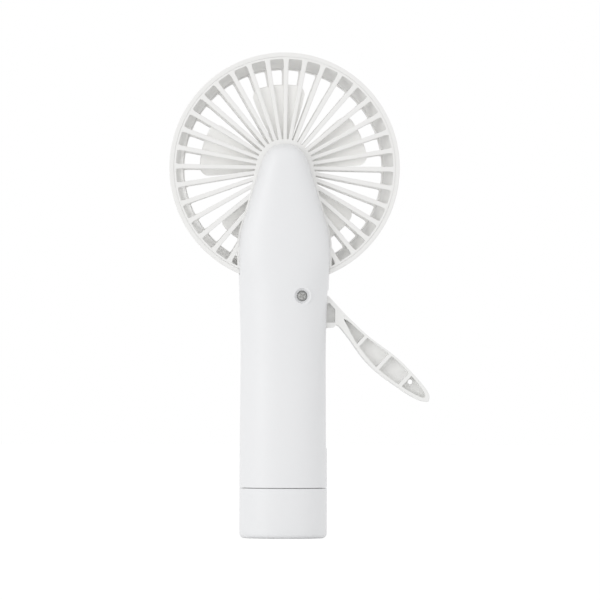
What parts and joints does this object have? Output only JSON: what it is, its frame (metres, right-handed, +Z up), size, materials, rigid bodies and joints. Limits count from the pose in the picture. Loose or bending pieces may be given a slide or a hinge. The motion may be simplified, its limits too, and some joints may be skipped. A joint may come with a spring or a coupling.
{
  "type": "hand crank fan",
  "caption": "Hand-held fan worked by a squeeze lever: oval handle, ringed guards, bladed impeller and a spur gear train with a one-way clutch.",
  "frame": {"origin": "middle of the end cap's flat base", "axes": "+Z up the handle, +X towards the lever, +Y the way the air leaves, -Y the back with the nose"},
  "size_m": [0.11, 0.0311, 0.2037],
  "materials": {
    "handle_plastic": "satin white",
    "guard_plastic": "satin warm white",
    "gear_plastic": "moulded, matte",
    "steel": "bright",
    "bronze": "sintered"
  },
  "bodies": {
    "housing": {"rear_shell": "handle_plastic", "front_shell": "handle_plastic", "end_cap": "handle_plastic", "duct_ring": "guard_plastic", "rear_grille": "guard_plastic", "front_guard": "guard_plastic", "shell_screw": "steel", "nose_screw_1": "steel", "nose_screw_2": "steel", "gear_axle_1": "steel", "gear_axle_2": "steel", "gear_axle_3": "steel", "lever_pin": "steel", "shaft_bush": "bronze", "rear_bush": "bronze"},
    "lever": {"squeeze_lever": "guard_plastic", "return_spring": "steel"},
    "first": {"first_gear": "gear_plastic"},
    "second": {"second_gear": "gear_plastic"},
    "clutch_driver": {"pawl_pinion": "gear_plastic"},
    "clutch_driven": {"ratchet_gear": "gear_plastic"},
    "fan": {"impeller": "guard_plastic", "impeller_cap": "guard_plastic", "fan_shaft": "steel", "fan_pinion": "gear_plastic"}
  },
  "joints": [
    {"name": "fan_spin", "type": "hinge", "parent": "housing", "child": "fan", "pos_m": [0, 0, 0.1553], "axis": [0, 1, 0], "range_deg": [0, 1795]},
    {"name": "lever_squeeze", "type": "hinge", "parent": "housing", "child": "lever", "pos_m": [0.0154, 0, 0.10114], "axis": [0, 1, 0], "range_deg": [0, 45], "stiffness_Nm_per_rad": 0.15, "springref_deg": -17.19},
    {"name": "first_gear_spin", "type": "hinge", "parent": "housing", "child": "first", "pos_m": [-0.00105, 0, 0.11251], "axis": [0, 1, 0], "range_deg": [-160, 0]},
    {"name": "second_gear_spin", "type": "hinge", "parent": "housing", "child": "second", "pos_m": [-0.0007, 0, 0.12651], "axis": [0, 1, 0], "range_deg": [0, 349]},
    {"name": "clutch_driver_spin", "type": "hinge", "parent": "housing", "child": "clutch_driver", "pos_m": [-0.00035, 0, 0.1413], "axis": [0, 1, 0], "range_deg": [-823, 0]},
    {"name": "clutch_driven_spin", "type": "hinge", "parent": "housing", "child": "clutch_driven", "pos_m": [-0.00035, 0, 0.1413], "axis": [0, 1, 0], "range_deg": [-823, 0]}
  ],
  "couplings": [
    {"joint": "lever_squeeze", "follows": "fan_spin", "ratio": 0.025067},
    {"joint": "first_gear_spin", "follows": "fan_spin", "ratio": -0.088876},
    {"joint": "second_gear_spin", "follows": "fan_spin", "ratio": 0.19391},
    {"joint": "clutch_driver_spin", "follows": "fan_spin", "ratio": -0.45833},
    {"joint": "clutch_driven_spin", "follows": "fan_spin", "ratio": -0.45833}
  ]
}
